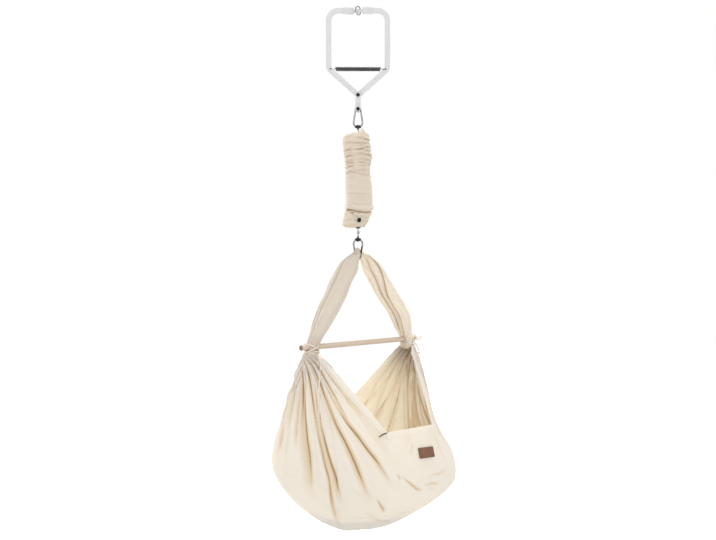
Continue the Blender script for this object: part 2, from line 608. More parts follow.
# Cross folds: bands that wander round the sleeve, deep in its upper third and shallow below.
depth = 0 * share
down_mm = share * SLEEVE_LENGTH
for band in range(FOLD_BANDS):
    pitch = chance.uniform(*FOLD_PITCH)
    lean = wander(angle, 0.9) + 0.35 * np.sin(angle + band)
    ridge = 1 - np.abs(np.sin(math.pi * down_mm / pitch + lean + band))
    patch = ramp(cloud_over(angle / (2 * math.pi), share, 5, 9, 20 + band), -0.1, 0.6)
    strong = 0.22 + 0.78 * (1 - ramp(share, *SCRUNCH_END)) + 0.3 * ramp(share, 0.82, 0.88)
    depth += (ridge ** 1.6) * patch * strong * FOLD_DEPTH
depth = np.minimum(depth, DEEPEST_FOLD)
frill = ramp(0.06 - share, 0, 0.05) + ramp(share - 0.95, 0, 0.04)
pleats = MOUTH_PLEAT_DEPTH * np.cos(MOUTH_PLEATS * angle + wander(angle, 0.8)) * frill
ends = ramp(share, 0, 0.03) * ramp(1 - share, 0, 0.02)
# The cloth above the cuff hangs over it: a deep line across, with a slanting crease below its left end.
arc_level = CUFF_LINE + 0.03 * np.cos(angle - 1.62 * math.pi)
fold_arc = bell(share - arc_level, 0.0085)
slant = share - 0.85 - 0.055 * (angle - SLANT_ANGLE)
fold_arc = np.maximum(fold_arc, bell(slant, 0.009) * bell(angle - SLANT_ANGLE, 0.22))
lip = LIP_HEIGHT * bell(share - arc_level + 0.03, 0.022)
reach = reach - depth * ends * (0.4 + 0.6 * ramp(share, 0.02, 0.08)) + pleats
reach = reach - CUFF_FOLD_DEPTH * fold_arc + lip
sag = 5 * bell(share, 0.04) - 6 * bell(1 - share, 0.03)
slump = 4 * cloud_over(angle / (2 * math.pi), share, 6, 5, 5) * ends
tuft = 15 * bell(angle - 5.4, 0.32) * (1 - ramp(share, 0, 0.05))
down = -SLEEVE_TOP - down_mm - sag * (1 - ends) + slump + tuft
outer = xyz(reach * np.cos(angle), reach * np.sin(angle), down)
inner_reach = np.maximum(reach - SLEEVE_CLOTH, SPRING_RADIUS + SPRING_WIRE + 0.5 - 9 * ramp(share, 0.92, 1))
inner = xyz(inner_reach * np.cos(angle), inner_reach * np.sin(angle), down)
cut = xyz(angle * SLEEVE_MEAN_RADIUS, down_mm, 0)
hollow = np.clip((depth - 2.2) / 9 + 0.95 * fold_arc, 0, 0.95) * ends
sleeve = lined_cloth("crinkled_sleeve", outer, inner, True, sleeve_cotton, cut, hollow, 0.8)
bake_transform(sleeve)
settle(sleeve, replaced="spring_sleeve")

# Cuff stopper: a black moulded bead that holds the sleeve's drawstring, whose loop lies on the cuff above it.
nylon = clouded("black_moulded_nylon", (300.0, 2.0), ("#0d0c0c", "#1d1a19"), 0.55,
                shine={"Specular IOR Level": 0.2})
STOPPER_SHARE = 0.925
STOPPER_TURN = 1.5 * math.pi + 0.1
STOPPER_OUT = 6.5
row = int(STOPPER_SHARE * (SLEEVE_ROWS - 1))
column = int(SLEEVE_COLUMNS * STOPPER_TURN / (2 * math.pi))
cuff_spot = outer[row, column] + (0, -STOPPER_OUT, 0)
# Down the bead: height and radius.
BEAD = [(8, 1.6), (7.8, 3.4), (6.6, 5.2), (3.5, 6.3), (0, 6.6), (-3.5, 6.3), (-6.6, 5.2), (-7.8, 3.4),
        (-8, 1.6), (-5, 1.5), (5, 1.5)]
BEAD_SIDES = 32
turn = full_turn(BEAD_SIDES)
rings = np.array([xyz(radius * np.cos(turn) + 0.12 * height, 0.75 * radius * np.sin(turn), height)
                  for height, radius in BEAD + BEAD[:1]])
bead = mesh_object("cuff_stopper", (cuff_spot + rings).reshape(-1, 3),
                   grid_faces(len(BEAD) + 1, BEAD_SIDES, True), nylon)
settle(bead, "swivel_upper")


def laid_cord(name, line, radius, sides, body="cradle", replaced=None):
    """A cotton cord of three strands along a line."""
    cord = tube(name, line, radius, sides, cotton_yarn, lobes=3, lobe_share=0.13, twist=0.7)
    settle(cord, body, replaced)
    return cord


bow = [(1, 0, 7), (2, -2.5, 12), (-3, -3, 17), (-13, -1.5, 17.5), (-20, 2, 21), (-16, 1, 24), (-7, -1.5, 21),
       (1.5, -3, 18.5), (9, -2, 19.5), (14, 1, 23), (11, 1, 25.5), (4, -1.5, 21.5), (1.5, -2, 15), (0, 0, 7)]
laid_cord("cuff_drawstring", cuff_spot + smooth_route(bow, 8), 1.3, 14, "swivel_upper")

# Swivel: two zinc-plated eyes, the lower one riveted through the upper one's boss so that it can turn.
dress("swivel_upper_eye", zinc, edge=0.3)
dress("swivel_lower_eye", zinc, edge=0.2)

# Spreader bar: a turned beech rod that keeps the two gathers apart, sanded and left without lacquer. Pale
# pinkish wood with fine long pores, and darker cut ends.
BAR_DROP = 1230
BAR_MIDDLE = 20
GATHER_HALF_SPAN = 250
beech, tree, shader = start_material("sanded_beech")
place = node(tree, "ShaderNodeTexCoord").outputs["Object"]
along_bar = node(tree, "ShaderNodeMapping", {"Vector": place, "Rotation": (0, 0, -math.pi / 4)}).outputs[0]
# Grain lines are 2.5 mm apart across the rod and run along it, pores are 0.8 mm by 12 mm.
long_way = node(tree, "ShaderNodeMapping", {"Vector": along_bar, "Scale": (9.0, 400.0, 400.0)}).outputs[0]
grain = node(tree, "ShaderNodeTexNoise", {"Vector": long_way, "Scale": 1.0, "Detail": 3.0,
             "Distortion": 0.6}).outputs[0]
pore_way = node(tree, "ShaderNodeMapping", {"Vector": along_bar, "Scale": (80.0, 1250.0, 1250.0)}).outputs[0]
pores = node(tree, "ShaderNodeTexNoise", {"Vector": pore_way, "Scale": 1.0, "Detail": 1.0}).outputs[0]
open_pores = node(tree, "ShaderNodeMapRange", {"Value": pores, "From Min": 0.6, "From Max": 0.75,
                  "To Min": 0.0, "To Max": 0.5}).outputs[0]
bar_along = node(tree, "ShaderNodeSeparateXYZ", {0: along_bar}).outputs["X"]
off_middle = node(tree, "ShaderNodeMath", {0: bar_along, 1: BAR_MIDDLE * MM}, operation="SUBTRACT").outputs[0]
to_end = node(tree, "ShaderNodeMath", {0: off_middle}, operation="ABSOLUTE").outputs[0]
end_grain = node(tree, "ShaderNodeMapRange", {"Value": to_end, "From Min": 0.2975, "From Max": 0.2988,
                 "To Min": 0.0, "To Max": 0.85}).outputs[0]
tint = linear("#d8cbbe")
for share_over, tone in [(grain, "#c2a78d"), (open_pores, "#a5795a"), (end_grain, "#5a4a3e")]:
    tint = node(tree, "ShaderNodeMix", {0: share_over, MIX_A: tint, MIX_B: linear(tone)},
                data_type="RGBA").outputs[MIXED]
raised = node(tree, "ShaderNodeBump", {"Height": pores, "Strength": 0.2, "Distance": 0.0002}).outputs[0]
fill_inputs(tree, shader, {"Base Color": tint, "Roughness": 0.55, "Normal": raised})
dress("spreader_bar", beech, edge=0.6)


def hung(points):
    """Places of the cradle, which hangs turned 45 degrees, in the frame's axes."""
    points = np.asarray(points, float)
    half = math.sqrt(0.5)
    return xyz((points[..., 0] - points[..., 1]) * half, (points[..., 0] + points[..., 1]) * half,
               points[..., 2])


def gather_x(side):
    return BAR_MIDDLE + side * GATHER_HALF_SPAN


# Straps: each is a wide tube of the cradle's cotton, two layers thick, that comes over the lower hook's wire
# in a bunch and is drawn together round the bar. The left one leaves the hook at the front and lies nearly
# flat, the right one leaves it at the back and lies in lengthwise pleats.
STRAP_COLUMNS = 132
STRAP_ROWS = 170
# Down a strap, in the cradle's axes: x, y, z, half width and half thickness.
STRAP_COURSE = {
    -1: [(-1, 2.5, -890, 5, 14), (-6, -3, -891, 9, 12), (-13, -8, -898, 18, 8), (-27, -6, -910, 30, 7),
         (-44, 0, -932, 47, 9), (-60, 0, -957, 56, 10), (-98, 0, -1019, 58, 10), (-137, 0, -1082, 57, 10),
         (-160, 0, -1118, 53, 11), (-184, 0, -1155, 46, 11.5), (-200, 0, -1180, 38, 12.5),
         (-216, 0, -1206, 29, 15), (-228, 0, -1232, 23, 19), (-230, 0, -1250, 21.8, 21.2),
         (-230, 0, -1261, 20.5, 20), (-230, 0, -1266, 15, 13.5), (-230, 0, -1270, 5, 5)],
    1: [(-1, 2.5, -890, 5, 14), (7, 4.5, -891, 9, 10), (18, 7, -898, 16, 7), (38, 4, -905, 28, 7),
        (56, 0, -926, 44, 9), (74, 0, -951, 53, 11), (113, 0, -998, 57, 12), (149, 0, -1044, 58, 12),
        (191, 0, -1091, 58, 12), (229, 0, -1139, 54, 12), (252, 0, -1187, 42, 13), (263, 0, -1211, 31, 15),
        (269, 0, -1235, 23, 19.5), (270, 0, -1250, 21.8, 21.2), (270, 0, -1261, 20.5, 20),
        (270, 0, -1266, 15, 13.5), (270, 0, -1270, 5, 5)]}
# Lengthwise creases: place across from -1 to 1 at the top and at the bottom, width as a share of the half
# width, and depth.
STRAP_CREASES = {-1: [(0.42, 0.48, 0.08, 4.5), (0.97, 0.97, 0.07, 9.5), (-0.9, -0.85, 0.07, 2),
                      (-0.1, 0.0, 0.05, 1)],
                 1: [(-0.78, -0.08, 0.13, 10), (0.02, 0.38, 0.11, 9), (0.62, 0.7, 0.08, 5),
                     (-0.3, 0.16, 0.06, 3.5), (-0.95, -0.95, 0.05, 2)]}
canvas = cotton("unbleached_cotton_canvas", "#edeeed", "#cba05e", 26, 0.5, 0.3)
# The straps are cut from two other lengths of it: the left one is greyer, the right one creamier.
STRAP_CLOTH = {-1: cotton("unbleached_canvas_grey_dye_lot", "#d3cbbf", "#a58765", 26, 0.3),
               1: cotton("unbleached_canvas_cream_dye_lot", "#f8f5f0", "#bc9566", 26, 0.3)}


def strap_places(course, creases, side):
    """A strap's surface as rings of places, the way along it, and how deep each place lies in a crease."""
    course = np.array(course, float)
    line = smooth_route(course[:, :3], 24)
    sizes = smooth_route(np.column_stack([course[:, 3:], course[:, 0]]), 24)
    travel = travelled(line)
    along_mm = np.linspace(0, travel[-1], STRAP_ROWS)
    line = np.stack([np.interp(along_mm, travel, line[:, k]) for k in range(3)], -1)
    widths, thicknesses = [np.interp(along_mm, travel, sizes[:, k]) for k in range(2)]
    along = unit(np.gradient(line, axis=0))
    through = unit(np.cross(along, (0.0, 1.0, 0.0)))
    row, angle = np.meshgrid(np.arange(STRAP_ROWS), full_turn(STRAP_COLUMNS), indexing="ij")
    wide, thick, share = widths[row], thicknesses[row], row / (STRAP_ROWS - 1)
    across = np.sign(np.cos(angle)) * np.abs(np.cos(angle)) ** 0.85
    face = np.sign(np.sin(angle)) * np.abs(np.sin(angle)) ** 0.8
    flat_zone = ramp(wide, 18, 48)
    hollow = 0 * share
    for start, end, width, deep in creases:
        drift = start + (end - start) * ramp(share, 0.18, 0.52) + 0.025 * np.sin(9 * share + 5 * start)
        groove = np.exp(-np.abs(across - drift) / width)
        thick = thick - deep * groove * (0.3 + 0.7 * flat_zone)
        dark = 0.5 * groove ** 1.15 + 0.55 * bell((across - drift) * wide, 3.2)
        hollow = np.maximum(hollow, dark * (0.4 + 0.6 * flat_zone) * min(1.0, deep / 9))
    bunched = np.cos(9 * math.pi * across + 2 * np.sin(7 * share) + side) * (1 - 0.85 * flat_zone)
    thick = np.maximum(thick + 1.5 * bunched * ramp(share, 0.02, 0.06), 1.6)
    hollow = np.clip(hollow - 0.4 * bunched * (1 - flat_zone), 0, 1)
    lift = 2.6 * cloud_over((across + 1) / 2.2, share, 4, 9, 30 + side) * flat_zone
    places = (line[row] + np.array((0.0, 1.0, 0.0)) * (wide * across)[..., None]
              + through[row] * (thick * face + lift)[..., None])
    return places, line, xyz(wide * across, along_mm[row], 0), hollow


for side, side_name, layers in [(-1, "left", 0.6), (1, "right", 0.2)]:
    places, line, cut, hollow = strap_places(STRAP_COURSE[side], STRAP_CREASES[side], side)
    points = hung(np.concatenate([places.reshape(-1, 3), [line[0], line[-1]]]))
    strap = mesh_object("strap_cloth_" + side_name, points, closed_faces(STRAP_ROWS, STRAP_COLUMNS, side < 0),
                        STRAP_CLOTH[side], {"layered": np.full(len(points), layers),
                        "cut_m": np.concatenate([cut.reshape(-1, 3), [[0, 0, 0]] * 2]) * MM,
                        "hollow": np.concatenate([hollow.ravel(), [0.3, 0.3]])})
    settle(strap, "cradle", "strap_" + side_name)

# Ties: a cotton cord wound three times round the strap and the cloth's neck, just below the bar, and crossed
# over the bar. One end of each hangs free, with a knot.
TIE_RADIUS = 1.75
TIE_TOP = 1243.6
TIE_PITCH = 5
LEFT_TAIL = [(-212.4, -18.1, -1243.6), (-213.1, -19.5, -1243.8), (-215.5, -26.5, -1248), (-219, -34.5, -1258),
             (-224, -40.5, -1271), (-230, -46.5, -1285), (-238, -53.5, -1306), (-247, -60.5, -1325),
             (-256.5, -69.5, -1345),
             (-269, -81, -1374), (-280, -92, -1411), (-287, -101.5, -1445), (-291, -106, -1466)]
RIGHT_TAIL = [(287.6, -18.1, -1243.6), (286.9, -19.5, -1243.8), (287, -23.5, -1245), (290, -27.5, -1248),
              (295, -32, -1256), (298, -36, -1268), (300, -39, -1284)]
KNOT_SIZE = 1.15
WINDING_REACH = (25.15, 25.1)
LASH_REACH = (26.5, 26.2)
OVER_BAR = 13.6
for side, side_name, tail_line, tail_length in [(-1, "left", LEFT_TAIL, 0.268),
                                                (1, "right", RIGHT_TAIL, 0.05)]:
    turn = np.linspace(0, 6 * math.pi, 151)
    angle = -math.pi / 4 + side * turn
    winding = xyz(gather_x(side) + WINDING_REACH[0] * np.cos(angle), WINDING_REACH[1] * np.sin(angle),
                  -TIE_TOP - TIE_PITCH * turn / (2 * math.pi))
    laid_cord("tie_winding_" + side_name, hung(winding), TIE_RADIUS, 18, replaced="tie_" + side_name)
    line = hung(smooth_route(tail_line, 7))
    tail = laid_cord("tie_end_" + side_name, line, TIE_RADIUS, 18, replaced="tie_tail_" + side_name)
    turn = np.linspace(0, 2 * math.pi, 73)
    knot_line = line[-1] + KNOT_SIZE * xyz(np.sin(turn) + 2 * np.sin(2 * turn), -np.sin(3 * turn),
                                           np.cos(turn) - 2 * np.cos(2 * turn))
    knot = laid_cord("tie_knot_" + side_name, knot_line, 1.5, 14)
    turn = np.linspace(0, 2 * math.pi, 97)
    for lean, lean_name in [(-1, "_low"), (1, "_high")]:
        crossing = xyz(gather_x(side) + LASH_REACH[0] * np.cos(turn), LASH_REACH[1] * np.sin(turn),
                       -BAR_DROP + lean * (OVER_BAR * np.cos(turn) + 0.9 * np.abs(np.sin(turn))))
        laid_cord("tie_winding_" + side_name + lean_name, hung(crossing), TIE_RADIUS, 16)

# Bow: the right tie's cord also goes round the bar's right end, and is tied there in two small loops.
BOW_X = 309
turn = np.linspace(0, 2 * math.pi, 65)
round_bar = xyz(BOW_X + 1.5 * np.sin(turn), OVER_BAR * np.cos(turn), -BAR_DROP + OVER_BAR * np.sin(turn))
laid_cord("bow_turn", hung(round_bar), TIE_RADIUS, 16)
for way, lift, bow_name in [(-1, 10, "bow_loop_near"), (1, 4, "bow_loop_far")]:
    # Round a loop, from the middle of the bow: along the bar, towards the front, and up.
    petal = [(0, -15, 0), (8 * way + 3, -20, lift), (19 * way + 3, -21, lift + 2),
             (22 * way + 2, -19, lift - 8), (12 * way, -18, -6), (0, -15.5, -1)]
    bow_line = smooth_route(np.array(petal) + (BOW_X, 0, -BAR_DROP), 12)
    laid_cord(bow_name, hung(bow_line), TIE_RADIUS, 16)

# Cradle body: unbleached cotton canvas, hung from the two gathers. Four panels and a floor are sewn
# together. A column of the cloth runs from the rim, or from a gather's neck, out to the belly oval and in to
# the bottom. sweep is the compass angle of its belly point in degrees, and drop runs from 0 at the top, by 1
# at the belly, to 2 at the bottom.
# The rim's corners, by side and near or far.
RIM_CORNERS = {(-1, -1): (-98, -240, -1514), (1, -1): (146, -240, -1518), (-1, 1): (-136, 240, -1525),
               (1, 1): (136, 240, -1525)}
CORNER_SWEEP = 60.5
BELLY_HALF = (380, 254)
BELLY_DROP = 1694
BELLY_SLANT = 50
BELLY_SHIFT = (21, -16)
BOTTOM = (-17, 22, -1918)
OVAL_POWER = 2.2
HULL_POWER = 1.44
SEAM = 29
FLOOR_SEAM = 1.42
NECK_DROP = 1252
NECK_HALF = (27.5, 28.5)
FALL_OUT = 0.4
FALL_DOWN = 0.35
# How far the rim's slope stands inwards and up beside each gather, by side and near or far.
RIM_FULLNESS = {(-1, -1): (14, 6), (1, 1): (8, 0), (-1, 1): (16, 2), (1, -1): (14, 0)}
CLOTH = 1.6
HEM_WIDTH = 24
HEM_EXTRA = 1.6
STITCH_SINK = 1.3
PUCKER_PITCH = 13
PUCKER_HEIGHT = 0.7
CRUSH_DEPTH = 1.8
# The middle of the flat place under the label: turn from the right end in degrees, and drop.
LABEL_PLACE = (-72, 0.5)
# How deep the right end's inner face is tinted, and how much more light the worn far side lets through.
WARM_SHARE = 0.62
WORN_SHARE = 0.48


def turned_from(sweep, middle):
    """The turn from the middle's compass angle, from -180 to 180 degrees."""
    return (sweep - middle + 180) % 360 - 180


def belly_point(sweep):
    angle = np.radians(sweep)
    long, wide = np.abs(np.cos(angle)) / BELLY_HALF[0], np.abs(np.sin(angle)) / BELLY_HALF[1]
    reach = (long ** OVAL_POWER + wide ** OVAL_POWER) ** (-1 / OVAL_POWER)
    x, y = reach * np.cos(angle), reach * np.sin(angle)
    slant = BELLY_SLANT * (x - y) / sum(BELLY_HALF) / math.cos(math.pi / 4)
    return xyz(BELLY_SHIFT[0] + x, BELLY_SHIFT[1] + y, -BELLY_DROP - slant)


def neck_point(side, around):
    angle = np.radians(around)
    return xyz(gather_x(side) + side * NECK_HALF[0] * np.cos(angle), NECK_HALF[1] * np.sin(angle), -NECK_DROP)


def column_top(sweep):
    turned = np.mod(sweep, 360)
    folded = np.where(turned > 180, 360 - turned, turned)
    near = np.where(turned > 180, -1.0, 1.0)
    side = np.where(folded < 90, 1.0, -1.0)
    from_end = np.where(folded < 90, folded, 180 - folded)
    end = neck_point(side, near * 90 * from_end / SEAM)
    neck = neck_point(side, near * 90)
    corner, opposite = 0.0, 0.0
    for (corner_side, corner_near), place in RIM_CORNERS.items():
        corner = corner + ((side == corner_side) & (near == corner_near))[..., None] * np.array(place)
        opposite = opposite + ((side != corner_side) & (near == corner_near))[..., None] * np.array(place)
    share = (from_end - SEAM) / (CORNER_SWEEP - SEAM)
    slope = neck + (corner - neck) * share[..., None]
    for (full_side, full_near), (inward, upward) in RIM_FULLNESS.items():
        full = ramp(share, -0.02, 0.12) * (1 - share) * (side == full_side) * (near == full_near)
        slope = slope + full[..., None] * np.array((-full_side * inward, 0, upward))
    level = corner + (opposite - corner) / 2 * ((from_end - CORNER_SWEEP) / (90 - CORNER_SWEEP))[..., None]
    return np.where((from_end <= SEAM)[..., None], end,
                    np.where((from_end <= CORNER_SWEEP)[..., None], slope, level))


def plain_cloth(sweep, drop):
    """The cloth without its folds, in the cradle's own axes."""
    sweep, drop = np.broadcast_arrays(np.asarray(sweep, float), np.asarray(drop, float))
    top, belly = column_top(sweep), belly_point(sweep)
    height = top[..., 2] - belly[..., 2]
    first = top + (belly - top) * FALL_OUT
    first[..., 2] = top[..., 2] - FALL_DOWN * height
    second = belly.copy()
    second[..., 2] = belly[..., 2] + FALL_DOWN * height
    t = np.clip(drop, 0, 1)[..., None]
    side = (1 - t) ** 3 * top + 3 * (1 - t) ** 2 * t * first + 3 * (1 - t) * t ** 2 * second + t ** 3 * belly
    lean = np.clip((drop - 1) * math.pi / 2, 0, math.pi / 2)
    inward, down = np.cos(lean) ** (2 / HULL_POWER), np.sin(lean) ** (2 / HULL_POWER)
    hull = np.array(BOTTOM) + (belly - np.array(BOTTOM)) * inward[..., None]
    hull[..., 2] = belly[..., 2] + (BOTTOM[2] - belly[..., 2]) * down
    return np.where((drop <= 1)[..., None], side, hull)


def cloth_facing(sweep, drop):
    """Which way the plain cloth faces, outwards."""
    level = np.clip(drop, 0.001, 1.98)
    round_it = plain_cloth(sweep + 2, level) - plain_cloth(sweep - 2, level)
    down = plain_cloth(sweep, level + 0.001) - plain_cloth(sweep, level - 0.001)
    return unit(np.cross(down, round_it))


# Pressed folds: places down the fold as (sweep, drop), depth, and width on either side of its line. A depth
# below 0 is a fold that sinks in seen from inside. Those on the near side run from the left gather, those on
# the far side and the right end from the right gather.
FOLDS = [
    ([(152, 0.05), (157, 0.25), (161.5, 0.5), (163, 0.9)], 6, 26, 12),
    ([(162, 0.06), (166.5, 0.26), (168.5, 0.49), (171, 0.72), (169.5, 0.95)], 8, 26, 12),
    ([(172, 0.05), (173, 0.3), (172, 0.6)], 5, 14, 8),
    ([(178, 0.05), (179, 0.25), (177, 0.41), (177, 0.7)], 6, 14, 8),
    ([(181, 0.08), (183.5, 0.3), (185, 0.55), (186, 0.8)], 5, 16, 8),
    ([(184.5, 0.08), (188.5, 0.25), (190, 0.44), (192.5, 0.65), (195, 0.85), (197, 1.3)], 9, 34, 16),
    ([(191.5, 0.1), (196.5, 0.29), (198.5, 0.46), (200.5, 0.64), (203, 0.83), (205.5, 1.08), (205, 1.4),
      (202, 1.75)], 7, 8, 16),
    ([(199, 0.12), (201.5, 0.42), (204, 0.65), (206, 0.79), (209, 0.95), (212.5, 1.3)], 9, 26, 7),
    ([(204, 0.1), (209, 0.3), (211.5, 0.49), (215.5, 0.61), (219.5, 0.74), (223, 0.89),
      (231, 1.3)], 9, 24, 12),
    ([(206.5, 0.08), (212, 0.3), (218, 0.41), (222.5, 0.45), (228, 0.53), (235, 0.63),
      (247.5, 1.0)], 9, 20, 10),
    ([(208, 0.05), (212.5, 0.2), (220.5, 0.18), (227.5, 0.145), (232.5, 0.12)], 2.5, 9, 6),
    ([(232.5, 1.15), (238.5, 1.26), (247, 1.37)], 6.5, 9, 6),
    ([(253, 0.77), (264, 0.924), (278, 1.1)], 6, 9, 7),
    ([(248.5, 0.71), (252.5, 0.83)], 4, 8, 6),
    ([(276, 0.95), (286.5, 0.942), (300, 0.97)], 3, 10, 8),
    ([(281, 0.83), (295.5, 0.81), (310, 0.85)], 3, 10, 8),
    ([(270, 0.18), (268, 0.3), (264.5, 0.46)], 2.5, 9, 8),
    ([(226, 1.32), (243, 1.47), (300, 1.62)], 3, 14, 9),
    ([(30, 0.05), (33, 0.2), (40, 0.3), (46, 0.33), (54, 0.5)], -6, 24, 12),
    ([(24, 0.06), (29, 0.36), (34, 0.52), (38, 0.64), (42, 0.9)], -9, 22, 9),
    ([(20, 0.06), (23, 0.35), (25.5, 0.56), (29.5, 0.84), (33, 1.1)], -9, 24, 8),
    ([(16.5, 0.08), (18.5, 0.4), (18, 0.8), (18.5, 1.1)], -6, 10, 8),
    ([(13.5, 0.06), (15.3, 0.34), (15.5, 0.72), (16, 1.1)], -8, 8, 14),
    ([(11, 0.1), (11, 0.46), (11.5, 0.72), (12, 1.0)], -5, 12, 8),
    ([(7, 0.1), (8, 0.34), (7, 0.7), (6, 1.0)], -6, 14, 10),
    ([(4, 0.1), (0.5, 0.38), (-5.5, 0.66), (-10, 0.95)], -7, 18, 9),
    ([(346, 0.1), (342, 0.4), (339, 0.75), (337, 1.1)], 6, 16, 9),
    ([(334, 0.1), (331, 0.4), (328, 0.8)], 5, 16, 9),
    ([(329, 0.05), (322, 0.2), (316, 0.5), (311, 0.85)], 4, 16, 9),
    ([(149, 0.05), (146, 0.3), (138, 0.62), (131, 0.95)], 7, 22, 10),
    ([(153, 0.1), (152, 0.45), (149, 0.85), (146, 1.15)], 8, 20, 9),
    ([(146, 0.04), (138, 0.1), (128, 0.2), (116, 0.45)], 5, 16, 10),
    ([(144, 0.06), (132, 0.25), (118, 0.5), (104, 0.8)], 7, 20, 10),
    ([(36, 0.05), (44, 0.3), (58, 0.6), (74, 0.9)], 6, 18, 9),
    ([(33, 0.12), (36, 0.4), (41, 0.75), (46, 1.1)], 7, 18, 9),
    ([(88, 0.85), (102, 1.15)], 3, 12, 9),
]
STOP_AT = 0.16


def fold_shape(sweep, drop, places, facing):
    """How far each place of the cloth stands out, and how deep in a fold it lies, from 0 to 1."""
    height, hollow = np.zeros(sweep.shape), np.zeros(sweep.shape)
    for line, depth, before, after in FOLDS:
        line = np.array(line)
        line_sweep = smooth_route(np.column_stack([line, np.zeros(len(line))]), 26)
        spots = plain_cloth(line_sweep[:, 0], line_sweep[:, 1])
        ahead = unit(np.gradient(spots, axis=0))
        middle = (line[:, 0].min() + line[:, 0].max()) / 2
        reach = (line[:, 0].max() - line[:, 0].min()) / 2 + 24
        close = np.abs(turned_from(sweep, middle)) < reach
        close &= (drop > line[:, 1].min() - 0.3) & (drop < line[:, 1].max() + 0.3)
        here, facing_here = places[close], facing[close]
        gaps = np.linalg.norm(here[:, None] - spots[None], axis=-1)
        nearest = gaps.argmin(1)
        gap = gaps[np.arange(len(here)), nearest]
        beside = np.einsum("ij,ij->i", np.cross(ahead[nearest], here - spots[nearest]), facing_here)
        done = nearest / (len(spots) - 1)
        ends = ramp(done, 0, STOP_AT) * ramp(1 - done, 0, STOP_AT * 1.6)
        width = np.where(beside > 0, after, before) * (0.35 + 0.65 * ramp(done, 0, 0.7))
        share = np.clip(gap / width, 0, 2.2)
        valley = np.clip(1 - share, 0, 1) ** 1.7
        shoulder = 0.4 * bell(share - 1.15, 0.45)
        grown = depth * ends * (0.45 + 0.55 * ramp(done, 0, 0.6))
        height[close] += grown * (shoulder - valley)
        sunk = np.clip(grown / 8, -1, 1) * (0.66 * valley ** 0.6 + 0.4 * bell(gap, 3.4))
        hollow[close] = np.where(np.abs(sunk) > np.abs(hollow[close]), sunk, hollow[close])
    return height, hollow


def gathers(places):
    """Fine pleats that spread from each neck and fade with distance from it."""
    height = np.zeros(places.shape[:-1])
    for side in (-1, 1):
        out, across = side * (places[..., 0] - gather_x(side)), places[..., 1]
        down = -NECK_DROP - places[..., 2]
        flat = np.hypot(out, across)
        far = np.hypot(flat, down)
        compass = np.degrees(np.arctan2(np.abs(across), out)) * np.sign(across + 1e-9)
        steep = np.degrees(np.arctan2(flat, np.maximum(down, 1)))
        fold = np.abs(compass) + 2 * np.maximum(0, steep - 22) + 5 * np.sin(np.radians(2 * compass))
        fade = np.minimum(0.07 * far, 3.0) * np.exp(-((far / 210) ** 1.6))
        wide = np.minimum(0.05 * far, 4) * bell(far, 300)
        height += fade * np.cos(np.radians(fold * 360 / 13) + side + np.sign(across))
        height += 0.7 * fade * np.cos(np.radians(fold * 360 / 7.3) + 2 * side)
        height += wide * np.cos(np.radians(fold * 360 / 31) + 1.5 + np.sign(across) * side)
    return height


# Where the hung cloth stands out from the plain form, or falls in: sweep, reach round, drop, reach down, mm.
SLUMPS = [(338, 34, 0.56, 0.24, -26), (336, 40, 0.9, 0.2, 19), (336, 40, 1.3, 0.2, 10),
          (330, 60, 1.62, 0.22, 12), (160, 34, 0.62, 0.28, -9), (240, 30, 1.7, 0.2, -3),
          (350, 60, 1.95, 0.3, 8), (170, 60, 1.95, 0.3, 6)]


def slump(sweep, drop):
    out = 0 * sweep
    for middle, round_reach, level, down_reach, amount in SLUMPS:
        out = out + amount * bell(turned_from(sweep, middle), round_reach) * bell(drop - level, down_reach)
    return out * ramp(drop, 0, 0.2)


def rim_gap(places):
    """Distance from the rim's three straight edges on the place's own side, and the way along them."""
    best = np.full(places.shape[:-1], 1e9)
    along = np.zeros(places.shape[:-1])
    for near in (-1, 1):
        necks = [neck_point(side, np.array(near * 90.0)) for side in (-1, 1)]
        corners = [np.array(RIM_CORNERS[side, near]) for side in (-1, 1)]
        for start, end in [(necks[0], corners[0]), (corners[0], corners[1]), (corners[1], necks[1])]:
            way = end - start
            share = np.clip(((places - start) @ way) / (way @ way), 0, 1)
            gap = np.linalg.norm(places - start - share[..., None] * way, axis=-1)
            along = np.where(gap < best, share * np.linalg.norm(way), along)
            best = np.minimum(best, gap)
    return best, along


